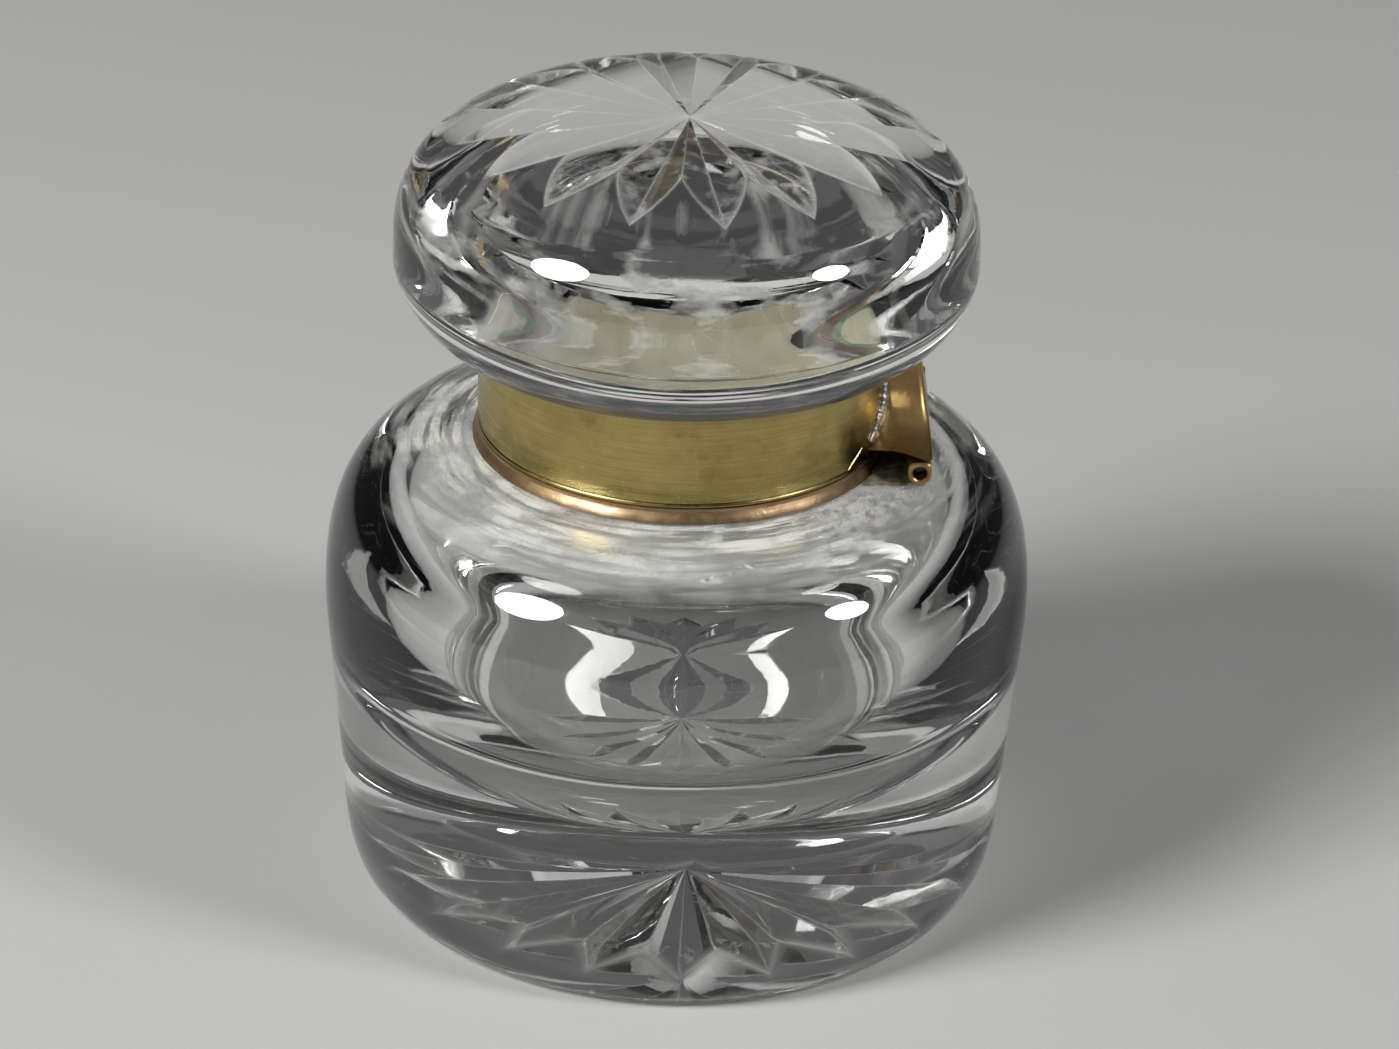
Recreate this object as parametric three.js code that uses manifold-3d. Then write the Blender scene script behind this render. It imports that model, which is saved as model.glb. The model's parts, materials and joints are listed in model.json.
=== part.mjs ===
// A round desk inkwell: a thick glass well with a star-cut base, a brass collar, and a hinged glass lid
// with a star-cut dome. Millimetres, +Z up, origin at the middle of the base, hinge at +X.
//
// The well and the lid are solids of revolution, with V grooves ground into the base and the dome.
// The lid's collar drops over the neck's gallery and turns on a five-knuckle hinge.

import * as THREE from 'three';
import { mergeVertices } from 'three/addons/utils/BufferGeometryUtils.js';
import Module from 'manifold-3d';

// ---- driving dimensions -------------------------------------------------------------------------------

const sides = 48; // facets round the glass and the collars, three to each ray of the stars
const rays = 16; // points on each cut star
const seat = 0.15; // cement or solder line left between pieces that are fixed together
const sheet = 0.6; // thickness of the brass

// Glass well
const bodyRadius = 40;
const bodyWidestZ = 33.6; // top of the side wall, where the shoulder starts
const heelRadius = 38.2;
const heelHeight = 9.6; // height of the rounded corner under the side wall
const heelPower = 2.2;
const baseRadius = 34.8; // outer edge of the flat that the well stands on
const shoulderZ = 53; // foot of the neck
const shoulderPower = 2.7;
const neckRadius = 20.4;
const neckTopZ = 58.6;
const mouthRadius = 15.2;
const cavityRadius = 31.2;
const cavityWidestZ = 40.5;
const cavityTopZ = 48.5; // where the cavity closes in to the mouth
const cavityShoulderPower = 3.6;
const cavityBowlPower = 2.5;
const floorRadius = 4;
const floorZ = 15;

// Cut stars. Each ray is a V groove whose bottom runs from centreZ over the star's centre to tipZ at tipRadius.
// cutAngle is each side of the V from its middle plane, and a V with a negative height opens downwards.
const baseStar = {
  centreX: 1.2, // ground slightly off the axis
  centreZ: 6.3,
  tipZ: 0,
  tipRadius: 21.5,
  cutAngle: THREE.MathUtils.degToRad(53),
  height: -10,
  overrun: 0.4,
};
const lidStar = {
  centreX: 0,
  centreZ: 91,
  tipZ: 88.65,
  tipRadius: 25,
  cutAngle: THREE.MathUtils.degToRad(63),
  height: 6,
  overrun: 3,
};
const lidStarTurn = THREE.MathUtils.degToRad(9.1);

// Collars
const collarRadius = 22.8; // outside of the lid's collar
const collarTopZ = 65.7;
const lowerCollarRadius = 23.4;
const lowerCollarZ = shoulderZ + seat;
const partingZ = 54.9; // where the two collars meet
const galleryRadius = 21.7; // upstand that centres the lid's collar
const galleryTopZ = 59.4;
const galleryLipRadius = 16.6;
const flangeZ = 61.2; // underside of the ring that carries the lid glass
const flangeInnerRadius = 14.2;

// Glass lid
const lidRadius = 32.3;
const lidWidestZ = 75.2;
const lidTopZ = 92.2;
const domePower = 2.9;
const lidUnderPower = 1.7;
const stemRadius = 21.2;
const stemBottomZ = 62.6;
const stemSeatWidth = 2; // width of the ring of cement under the edge of the stem

// Hinge
const hingeX = 26.3;
const hingeZ = 55;
const barrelLength = 26;
const knuckleCount = 5;
const knuckleGap = 0.2;
const knuckleRadius = 1.3;
const boreRadius = 0.8;
const pinRadius = 0.72;
const pinRecess = 1.8; // the pin stops this far short of each end of the barrel
const tailBottomZ = hingeZ + knuckleRadius + 0.1;
const tailTopZ = 65.4;
const tailFootHalfWidth = 12.5;
const tailTopHalfWidth = 3.4;
const tailFootX = 27.7; // outside of the tail at its foot
const tailTopX = 26.2;
const tailWall = 0.9;
const elbowRise = 1.2; // height above the foot of the corner that the tail's edge curves round
const elbowWidth = 0.4;
const archRise = 0.6; // the tail's side walls arch up by this much between collar and barrel
const archRadius = 3.2;
const leafHalfWidth = 12.6;
const leafX = 27.2; // outer edge of the leaf, where the open lid's tail comes to rest
const leafBottomZ = 53.15;
const leafThickness = 0.45;
const solderRadius = 0.9;

// ---- colours ------------------------------------------------------------------------------------------

const glass = { color: 0xdfe3dc, roughness: 0.04, metalness: 0, transparent: true, opacity: 0.35 };
const brass = { color: 0xa8925a, roughness: 0.38, metalness: 1 };
const wornBrass = { color: 0xa97f45, roughness: 0.45, metalness: 1 };
const coppery = { color: 0xa8765c, roughness: 0.45, metalness: 1 };
const steel = { color: 0x6c675f, roughness: 0.5, metalness: 1 };
const solder = { color: 0x8d8c8a, roughness: 0.55, metalness: 1 };
const plaster = { color: 0xd8d2b0, roughness: 0.9, metalness: 0 };

// ---- building blocks ----------------------------------------------------------------------------------

const wasm = await Module();
wasm.setup();

// A closed three.js geometry as a manifold solid.
function toSolid(geometry) {
  const bare = geometry.clone();
  bare.deleteAttribute('normal');
  bare.deleteAttribute('uv');
  const merged = mergeVertices(bare, 1e-4);
  return new wasm.Manifold(new wasm.Mesh({
    numProp: 3,
    vertProperties: new Float32Array(merged.attributes.position.array),
    triVerts: new Uint32Array(merged.index.array),
  }));
}

// A manifold solid as a three.js geometry.
function toGeometry(solid) {
  const mesh = solid.getMesh();
  const geometry = new THREE.BufferGeometry();
  geometry.setAttribute('position', new THREE.BufferAttribute(mesh.vertProperties, 3));
  geometry.setIndex(new THREE.BufferAttribute(mesh.triVerts, 1));
  geometry.computeVertexNormals();
  return geometry;
}

// A closed outline of [radius, z] points, listed up the outside and down the inside, spun about +Z.
function spin(points, count = sides) {
  const outline = points.map(([radius, z]) => new THREE.Vector2(radius, z));
  return new THREE.LatheGeometry(outline, count).rotateX(Math.PI / 2);
}

// A ring of rectangular section.
function ring(inner, outer, bottom, top) {
  return spin([[inner, bottom], [outer, bottom], [outer, top], [inner, top], [inner, bottom]]);
}

// Points along a quarter of a superellipse. It leaves `upright` vertically and meets `level` horizontally.
function quarter(upright, level, power, steps) {
  const points = [];
  for (let step = 0; step <= steps; step += 1) {
    const angle = (step / steps) * (Math.PI / 2);
    const across = Math.cos(angle) ** (2 / power);
    const along = Math.sin(angle) ** (2 / power);
    points.push([
      level[0] + (upright[0] - level[0]) * across,
      upright[1] + (level[1] - upright[1]) * along,
    ]);
  }
  return points;
}

// A flat outline in the YZ plane carried along +X from one x to another.
function extrudeAlongX(shape, fromX, toX, curveSegments = 12) {
  const geometry = new THREE.ExtrudeGeometry(shape, { depth: toX - fromX, bevelEnabled: false, curveSegments });
  const toYZ = new THREE.Matrix4().makeBasis(
    new THREE.Vector3(0, 1, 0),
    new THREE.Vector3(0, 0, 1),
    new THREE.Vector3(1, 0, 0),
  );
  return geometry.applyMatrix4(toYZ).translate(fromX, 0, 0);
}

// A flat outline in the XZ plane carried the same distance either way along Y.
function extrudeAcrossY(shape, halfWidth) {
  const geometry = new THREE.ExtrudeGeometry(shape, { depth: 2 * halfWidth, bevelEnabled: false });
  return geometry.rotateX(Math.PI / 2).translate(0, halfWidth, 0);
}

function polygon(points) {
  return new THREE.Shape(points.map(([x, y]) => new THREE.Vector2(x, y)));
}

function part(name, geometry, look) {
  const mesh = new THREE.Mesh(geometry, new THREE.MeshStandardMaterial(look));
  mesh.name = name;
  return mesh;
}

// ---- glass --------------------------------------------------------------------------------------------

function wellOutline() {
  return [
    [0, 0],
    [baseRadius, 0],
    ...quarter([heelRadius, heelHeight], [baseRadius, 0], heelPower, 5).reverse().slice(1),
    ...quarter([bodyRadius, bodyWidestZ], [neckRadius + 2.4, shoulderZ], shoulderPower, 10),
    [neckRadius, shoulderZ],
    [neckRadius, neckTopZ],
    [mouthRadius, neckTopZ],
    ...quarter([cavityRadius, cavityWidestZ], [mouthRadius, cavityTopZ], cavityShoulderPower, 10).reverse(),
    ...quarter([cavityRadius, cavityWidestZ], [floorRadius, floorZ], cavityBowlPower, 10).slice(1),
    [0, floorZ],
  ];
}

// One ray of a cut star. It starts just past the middle, so that the rays meet there, and runs out at its tip.
function starRay(star, turn) {
  const halfWidth = Math.abs(star.height) * Math.tan(star.cutAngle);
  const slope = Math.atan2(star.centreZ - star.tipZ, star.tipRadius);
  const section = polygon([[0, 0], [halfWidth, star.height], [-halfWidth, star.height]]);
  return extrudeAlongX(section, -star.overrun, bodyRadius, 1)
    .rotateY(slope)
    .rotateZ(turn)
    .translate(star.centreX, 0, star.centreZ);
}

function cutStar(blank, star, firstTurn) {
  let solid = blank;
  for (let ray = 0; ray < rays; ray += 1) {
    solid = solid.subtract(toSolid(starRay(star, firstTurn + (ray * 2 * Math.PI) / rays)));
  }
  return solid;
}

function glassBody() {
  const solid = cutStar(toSolid(spin(wellOutline())), baseStar, 0);
  return part('glass_body', toGeometry(solid), glass);
}

function glassLid() {
  const outline = [
    [0, stemBottomZ],
    [stemRadius, stemBottomZ],
    [stemRadius, collarTopZ + seat],
    ...quarter([lidRadius, lidWidestZ], [collarRadius, collarTopZ + seat], lidUnderPower, 8).reverse(),
    ...quarter([lidRadius, lidWidestZ], [0, lidTopZ], domePower, 12).slice(1),
  ];
  const solid = cutStar(toSolid(spin(outline)), lidStar, lidStarTurn);
  return part('glass_lid', toGeometry(solid), glass);
}

// ---- cement and collars -------------------------------------------------------------------------------

function neckCement() {
  const geometry = ring(neckRadius + seat, galleryRadius - sheet - seat, lowerCollarZ + seat, neckTopZ - seat);
  return part('neck_cement', geometry, plaster);
}

// A band round the foot of the neck, stepped in to an upstand whose top turns inwards over the glass.
function lowerCollar() {
  const inner = galleryRadius - sheet;
  const outline = [
    [inner, lowerCollarZ],
    [lowerCollarRadius, lowerCollarZ],
    [collarRadius, partingZ - 0.5],
    [collarRadius, partingZ],
    [galleryRadius, partingZ],
    [galleryRadius, galleryTopZ],
    [galleryLipRadius, galleryTopZ],
    [galleryLipRadius, galleryTopZ - sheet],
    [inner, galleryTopZ - sheet],
    [inner, lowerCollarZ],
  ];
  return part('lower_collar', spin(outline), coppery);
}

function upperCollar() {
  return part('upper_collar', ring(collarRadius - sheet, collarRadius, partingZ + 0.1, collarTopZ), brass);
}

// The ring soldered inside the lid's collar. The stem of the lid stands on its raised inner part.
function lidFlange() {
  const outer = collarRadius - sheet - seat;
  const step = stemRadius - stemSeatWidth - seat;
  const outline = [
    [flangeInnerRadius, flangeZ],
    [outer, flangeZ],
    [outer, flangeZ + sheet],
    [step, flangeZ + sheet],
    [step, stemBottomZ - seat],
    [flangeInnerRadius, stemBottomZ - seat],
    [flangeInnerRadius, flangeZ],
  ];
  return part('lid_flange', spin(outline), brass);
}

function lidCement() {
  const bottom = flangeZ + sheet + seat;
  const outer = collarRadius - sheet - seat;
  const inner = stemRadius - stemSeatWidth;
  const outline = [
    [inner, bottom],
    [outer, bottom],
    [outer, collarTopZ - seat],
    [stemRadius + seat, collarTopZ - seat],
    [stemRadius + seat, stemBottomZ - seat],
    [inner, stemBottomZ - seat],
    [inner, bottom],
  ];
  return part('lid_cement', spin(outline), plaster);
}

// ---- hinge --------------------------------------------------------------------------------------------

// One edge of the tail seen from the hinge side: in from the end of the foot, and up the strap to its top.
function tailEdge(inset) {
  const strap = tailTopHalfWidth - inset * 0.5;
  return new THREE.QuadraticBezierCurve(
    new THREE.Vector2(tailFootHalfWidth - inset, tailBottomZ),
    new THREE.Vector2(strap + elbowWidth, tailBottomZ + elbowRise - inset),
    new THREE.Vector2(strap, tailTopZ - inset),
  );
}

function tailOutline(inset, bottom) {
  const edge = tailEdge(inset).getPoints(12);
  const foot = edge[0].x;
  const mirrored = edge.map((point) => new THREE.Vector2(-point.x, point.y)).reverse();
  return new THREE.Shape([new THREE.Vector2(-foot, bottom), new THREE.Vector2(foot, bottom), ...edge, ...mirrored]);
}

// The tail's whole bulk, or with an inset its hollow, which is open below.
function tailBulk(inset, bottom) {
  const startX = 15;
  const bell = toSolid(extrudeAlongX(tailOutline(inset, bottom), startX, tailFootX + 1));
  const side = toSolid(extrudeAcrossY(polygon([
    [startX, bottom],
    [tailFootX - inset, bottom],
    [tailFootX - inset, tailBottomZ],
    [tailTopX - inset, tailTopZ],
    [startX, tailTopZ],
  ]), barrelLength));
  return bell.intersect(side);
}

// Everything inside a radius round the well's axis, over the height of the collars.
function core(radius) {
  return toSolid(spin([[0, shoulderZ], [radius, shoulderZ], [radius, lidTopZ], [0, lidTopZ]]));
}

function hingeTail() {
  const arch = new THREE.Shape();
  arch.absarc((galleryRadius + hingeX) / 2, tailBottomZ + archRise - archRadius, archRadius, 0, 2 * Math.PI);
  const solid = tailBulk(0, tailBottomZ)
    .subtract(tailBulk(tailWall, tailBottomZ - 1))
    .subtract(toSolid(extrudeAcrossY(arch, barrelLength)))
    .subtract(core(collarRadius + seat));
  return part('hinge_tail', toGeometry(solid), wornBrass);
}

// The line of solder in the corner between the tail's side and the collar, on the given side of the hinge.
function tailSolder(name, side) {
  const edge = tailEdge(-0.4);
  const points = [];
  const steps = 8;
  for (let step = 0; step <= steps; step += 1) {
    const { x: halfWidth, y: z } = edge.getPoint(THREE.MathUtils.lerp(0.03, 0.92, step / steps));
    const x = Math.sqrt((collarRadius + 0.4) ** 2 - halfWidth * halfWidth);
    points.push(new THREE.Vector3(x, side * halfWidth, z));
  }
  const section = new THREE.Shape().absarc(0, 0, solderRadius, 0, 2 * Math.PI);
  const bead = new THREE.ExtrudeGeometry(section, {
    extrudePath: new THREE.CatmullRomCurve3(points),
    steps: 16,
    curveSegments: 5,
    bevelEnabled: false,
  });
  const solid = toSolid(bead)
    .subtract(tailBulk(-seat, tailBottomZ - 1))
    .subtract(core(collarRadius + seat));
  return part(name, toGeometry(solid), solder);
}

// The leaf lies on the glass shoulder under the barrel, its inner edge fitted round the lower collar.
function hingeLeaf() {
  const plate = new THREE.BoxGeometry(leafX, 2 * leafHalfWidth, leafThickness)
    .translate(leafX / 2, 0, leafBottomZ + leafThickness / 2);
  const hole = new THREE.CylinderGeometry(lowerCollarRadius + seat, lowerCollarRadius + seat, 10, sides)
    .rotateX(Math.PI / 2)
    .translate(0, 0, leafBottomZ);
  return part('hinge_leaf', toGeometry(toSolid(plate).subtract(toSolid(hole))), coppery);
}

// The solder that joins the leaf to the lower collar, a short arc of fillet on top of the leaf.
function leafSolder() {
  const inner = lowerCollarRadius + seat;
  const bottom = leafBottomZ + leafThickness + seat;
  const halfArc = THREE.MathUtils.degToRad(26);
  const fillet = [[inner, bottom], [inner + 0.8, bottom], [inner, bottom + 0.6], [inner, bottom]];
  const whole = toSolid(spin(fillet));
  const reach = 2 * lowerCollarRadius;
  const wedge = polygon([[0, 0], [reach, -reach * Math.tan(halfArc)], [reach, reach * Math.tan(halfArc)]]);
  const keep = new THREE.ExtrudeGeometry(wedge, { depth: 10, bevelEnabled: false }).translate(0, 0, shoulderZ - 1);
  return part('leaf_solder', toGeometry(whole.intersect(toSolid(keep))), solder);
}

// A tube about the hinge's axis.
function tube(fromY, toY) {
  const outline = [
    [boreRadius, fromY],
    [knuckleRadius, fromY],
    [knuckleRadius, toY],
    [boreRadius, toY],
    [boreRadius, fromY],
  ];
  const facets = 24;
  const geometry = new THREE.LatheGeometry(outline.map(([r, y]) => new THREE.Vector2(r, y)), facets);
  return geometry.translate(hingeX, 0, hingeZ);
}

// Five lengths of tube, taken in turn by the lid and the well, with the lid's at both ends.
function knuckles(bodyName, first, names) {
  const length = (barrelLength - (knuckleCount - 1) * knuckleGap) / knuckleCount;
  return names.map((place, index) => {
    const slot = first + 2 * index;
    const fromY = -barrelLength / 2 + slot * (length + knuckleGap);
    return part(`${bodyName}_knuckle_${place}`, tube(fromY, fromY + length), wornBrass);
  });
}

function hingePin() {
  const facets = 24;
  const geometry = new THREE.CylinderGeometry(pinRadius, pinRadius, barrelLength - 2 * pinRecess, facets);
  return part('hinge_pin', geometry.translate(hingeX, 0, hingeZ), steel);
}

// ---- assembly -----------------------------------------------------------------------------------------

const well = new THREE.Group();
well.add(
  glassBody(),
  neckCement(),
  lowerCollar(),
  hingeLeaf(),
  leafSolder(),
  hingePin(),
  ...knuckles('lower', 1, ['front', 'rear']),
);

const lid = new THREE.Group();
lid.add(
  glassLid(),
  lidCement(),
  lidFlange(),
  upperCollar(),
  hingeTail(),
  tailSolder('tail_solder_front', -1),
  tailSolder('tail_solder_rear', 1),
  ...knuckles('upper', 0, ['front', 'middle', 'rear']),
);

const inkwell = new THREE.Group();
inkwell.add(well, lid);

export default inkwell;
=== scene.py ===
import json
import math

import bpy
import numpy as np
from mathutils import Matrix, Vector, noise


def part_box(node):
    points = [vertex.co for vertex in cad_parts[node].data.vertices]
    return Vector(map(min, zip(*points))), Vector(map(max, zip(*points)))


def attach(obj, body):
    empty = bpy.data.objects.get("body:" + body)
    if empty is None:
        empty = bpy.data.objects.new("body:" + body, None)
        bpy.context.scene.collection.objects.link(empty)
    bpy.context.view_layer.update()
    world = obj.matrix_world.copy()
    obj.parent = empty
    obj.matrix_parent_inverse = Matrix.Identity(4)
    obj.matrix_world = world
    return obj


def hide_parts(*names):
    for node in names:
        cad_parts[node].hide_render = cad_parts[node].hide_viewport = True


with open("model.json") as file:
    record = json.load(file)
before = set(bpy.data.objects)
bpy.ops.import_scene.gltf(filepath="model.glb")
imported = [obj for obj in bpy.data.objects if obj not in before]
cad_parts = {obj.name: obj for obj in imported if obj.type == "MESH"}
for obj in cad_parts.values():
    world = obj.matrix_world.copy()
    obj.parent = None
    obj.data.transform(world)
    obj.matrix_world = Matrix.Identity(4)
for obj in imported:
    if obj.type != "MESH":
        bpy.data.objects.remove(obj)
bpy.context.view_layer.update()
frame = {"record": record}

MM = 0.001


# ---- sizes, all in millimetres -----------------------------------------------------------------------

def corners(node):
    """Lowest and highest corner of a CAD node, in millimetres."""
    low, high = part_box(node)
    return np.array(low) / MM, np.array(high) / MM


WELL_LOW, WELL_HIGH = corners("glass_body")
LID_LOW, LID_HIGH = corners("glass_lid")
COLLAR_LOW, COLLAR_HIGH = corners("upper_collar")
BAND_LOW, BAND_HIGH = corners("lower_collar")
FLANGE_LOW, FLANGE_HIGH = corners("lid_flange")
TAIL_LOW, TAIL_HIGH = corners("hinge_tail")
LEAF_LOW, LEAF_HIGH = corners("hinge_leaf")
HINGE = np.array(frame["record"]["behaviour"]["joints"][0]["pos_m"]) / MM

BODY_RADIUS = WELL_HIGH[0]
NECK_TOP = WELL_HIGH[2]
BODY_WIDEST_Z = 33.6
HEEL_RADIUS = 38.2
HEEL_HEIGHT = 9.6
BASE_RADIUS = 34.8
SHOULDER_Z = 53.0
NECK_RADIUS = 20.4
MOUTH_RADIUS = 15.2
CAVITY_RADIUS = 31.2
CAVITY_WIDEST_Z = 40.5
CAVITY_TOP_Z = 48.5
FLOOR_RADIUS = 4.0
FLOOR_Z = 15.0
WELL_WAVER = 0.05  # unevenness of the outer surface
INNER_WAVER = 0.04  # unevenness of the cavity and of the lid

# Powers of the superellipses that shape each curved stretch of glass
HEEL_POWER = 2.2
SHOULDER_POWER = 2.7
CAVITY_SHOULDER_POWER = 3.6
CAVITY_BOWL_POWER = 2.5
UNDER_LID_POWER = 1.7
DOME_POWER = 2.9

LID_RADIUS = LID_HIGH[0]
LID_TOP = LID_LOW[2] + 29.6
LID_WIDEST_Z = LID_LOW[2] + 12.6
STEM_BOTTOM = LID_LOW[2]
STEM_RADIUS = 21.2
STEM_SEAT = 19.2  # inner radius of the ring of cement under the stem
JOINT_LINE = 0.15  # gap between pieces that are cemented or soldered together
CEMENT_LINE = 0.12  # the thinner gap between cement and glass

COLLAR_RADIUS = COLLAR_HIGH[0]
COLLAR_BOTTOM = COLLAR_LOW[2]
COLLAR_TOP = COLLAR_HIGH[2]
SHEET = 0.6  # thickness of the brass

RAYS = 16
HALF_RAY_STEPS = 12
BASE_STAR = {
    "x": 1.2,
    "z": 6.3,
    "slope": 6.3 / 21.5,
    "angle": math.radians(53),
    "turn": 0.0,
}
LID_STAR = {
    "x": 0.0,
    "z": LID_LOW[2] + 28.4,
    "slope": 2.35 / 25,
    "angle": math.radians(63),
    "turn": math.radians(9.1),
}


# ---- mesh building -----------------------------------------------------------------------------------

def piece(name, points, faces, sharp=30):
    """A mesh object from points in millimetres, smooth but for edges sharper than an angle in degrees."""
    mesh = bpy.data.meshes.new(name)
    mesh.from_pydata((np.array(points) * MM).tolist(), [], faces)
    mesh.validate()
    mesh.polygons.foreach_set("use_smooth", [True] * len(mesh.polygons))
    mesh.set_sharp_from_angle(angle=math.radians(sharp))
    made = bpy.data.objects.new(name, mesh)
    bpy.context.collection.objects.link(made)
    return made


def skin(name, rings, closed=False, sharp=30):
    """A surface through rings of points. A ring of one point closes the surface there."""
    starts = np.cumsum([0] + [len(ring) for ring in rings])
    count = max(len(ring) for ring in rings)
    pairs = list(zip(range(len(rings) - 1), range(1, len(rings))))
    if closed:
        pairs.append((len(rings) - 1, 0))
    faces = []
    for here, there in pairs:
        a, b = starts[here], starts[there]
        for i in range(count):
            j = (i + 1) % count
            if len(rings[here]) == 1:
                faces.append((a, b + j, b + i))
            elif len(rings[there]) == 1:
                faces.append((a + i, a + j, b))
            else:
                faces.append((a + i, a + j, b + j, b + i))
    faces = [tuple(int(index) for index in face) for face in faces]
    return piece(name, np.concatenate([np.array(ring, float) for ring in rings]), faces, sharp)


def shell(name, outer, inner, sharp=30):
    """A closed sheet between two grids of points with the same rows and columns."""
    rows, columns = outer.shape[:2]
    back = rows * columns
    faces = []
    for i in range(rows - 1):
        for j in range(columns - 1):
            a, b = i * columns + j, (i + 1) * columns + j
            faces.append((a, a + 1, b + 1, b))
            faces.append((back + a, back + b, back + b + 1, back + a + 1))
    rim = [j for j in range(columns)]
    rim += [i * columns + columns - 1 for i in range(1, rows)]
    rim += [(rows - 1) * columns + j for j in range(columns - 2, -1, -1)]
    rim += [i * columns for i in range(rows - 2, 0, -1)]
    for k, a in enumerate(rim):
        b = rim[(k + 1) % len(rim)]
        faces.append((b, a, back + a, back + b))
    points = np.concatenate([outer.reshape(-1, 3), inner.reshape(-1, 3)])
    return piece(name, points, faces, sharp)


def directions(turn=0.0):
    """Angles round the axis, with one along the bottom and one along the crest of every groove of a star."""
    steps = 2 * RAYS * HALF_RAY_STEPS
    return turn + np.arange(steps) * 2 * math.pi / steps


CIRCLE = directions()


def circle_points(radius, height, angles=CIRCLE):
    """A ring round the axis. Radius and height are numbers, or one value for each angle."""
    radius = np.broadcast_to(radius, angles.shape)
    height = np.broadcast_to(height, angles.shape)
    return np.stack([radius * np.cos(angles), radius * np.sin(angles), height], axis=-1)


def revolve(name, outline, angles=CIRCLE, closed=False, sharp=30):
    """An outline of (radius, height), listed up the outside and down the inside, carried round the axis.
    A third value moves that ring along X."""
    rings = []
    for radius, height, *shift in outline:
        x = shift[0] if shift else 0.0
        on_axis = np.ndim(radius) == 0 and radius == 0
        ring = [(x, 0.0, height)] if on_axis else circle_points(radius, height, angles) + (x, 0, 0)
        rings.append(ring)
    return skin(name, rings, closed, sharp)


def quarter(upright, level, power, steps):
    """A quarter of a superellipse that leaves the point upright vertically and meets level horizontally."""
    angle = np.linspace(0, math.pi / 2, steps + 1)
    across = np.cos(angle).clip(0) ** (2 / power)
    along = np.sin(angle).clip(0) ** (2 / power)
    radii = level[0] + (upright[0] - level[0]) * across
    heights = upright[1] + (level[1] - upright[1]) * along
    return list(zip(radii, heights))


def rounded(corner, size, before, after):
    """Points round a corner of an outline, between the directions it is entered and left by."""
    corner, before, after = np.array(corner, float), np.array(before, float), np.array(after, float)
    start, end = corner - size * before, corner + size * after
    blend = np.linspace(0, 1, 5)[:, None]
    curve = (1 - blend) ** 2 * start + 2 * blend * (1 - blend) * corner + blend ** 2 * end
    return [tuple(point) for point in curve]


UP, DOWN, OUT, IN = (0, 1), (0, -1), (1, 0), (-1, 0)


def wavering(outline, angles, amount):
    """The same outline with the slight unevenness of hand-finished glass."""
    uneven = []
    for radius, height in outline:
        wave = np.sin(3 * angles + height / 9) + 0.6 * np.sin(5 * angles - height / 6 + 2)
        uneven.append((radius + amount * wave, height))
    return uneven


# ---- cut stars ---------------------------------------------------------------------------------------

def facet_fall(star, angles, sense):
    """How fast each facet falls away from the star's centre along each direction."""
    period = 2 * math.pi / RAYS
    off_ray = np.abs((angles - star["turn"] + period / 2) % period - period / 2)
    return star["slope"] * np.cos(off_ray) + sense * np.sin(off_ray) / math.tan(star["angle"])


def star_rows(star, fall, edge):
    """The star's flat facets, from the centre out to its zigzag edge."""
    rows = 10
    outline = [(0, star["z"], star["x"])]
    for step in range(1, rows + 1):
        radius = edge * step / rows
        outline.append((radius, star["z"] - radius * fall, star["x"]))
    return outline


def mark_arrises(made, star, fall, edge):
    """Stores 1 along the sharp lines of a star, where the cut edges are worn and the glass gets a painted
    whitish highlight. The first ring is one point.
    """
    points = np.array([vertex.co for vertex in made.data.vertices]) / MM
    ray_step = (np.arange(len(points)) - 1) % len(fall)
    radius = np.hypot(points[:, 0] - star["x"], points[:, 1])
    near = 0.03
    on_facet = np.abs(points[:, 2] - (star["z"] - radius * fall[ray_step])) < near
    inside = radius < edge[ray_step] + near
    at_edge = np.abs(radius - edge[ray_step]) < near
    line = on_facet & inside & (at_edge | (ray_step % HALF_RAY_STEPS == 0))
    made.data.attributes.new("arris", "FLOAT", "POINT").data.foreach_set("value", line.astype(float))
    return made


def dome_height(radius):
    """Height of the uncut dome at a distance from the axis."""
    rise = np.maximum(1 - (radius / LID_RADIUS) ** DOME_POWER, 0) ** (1 / DOME_POWER)
    return LID_WIDEST_Z + (LID_TOP - LID_WIDEST_Z) * rise


def dome_edge(fall):
    """Radius at which the lid star's facets run out into the dome, found by halving."""
    low, high = np.full(fall.shape, 1.0), np.full(fall.shape, LID_RADIUS)
    halvings = 40
    for _ in range(halvings):
        middle = (low + high) / 2
        below = LID_STAR["z"] - middle * fall < dome_height(middle)
        low, high = np.where(below, middle, low), np.where(below, high, middle)
    return low


# ---- glass -------------------------------------------------------------------------------------------

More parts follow.
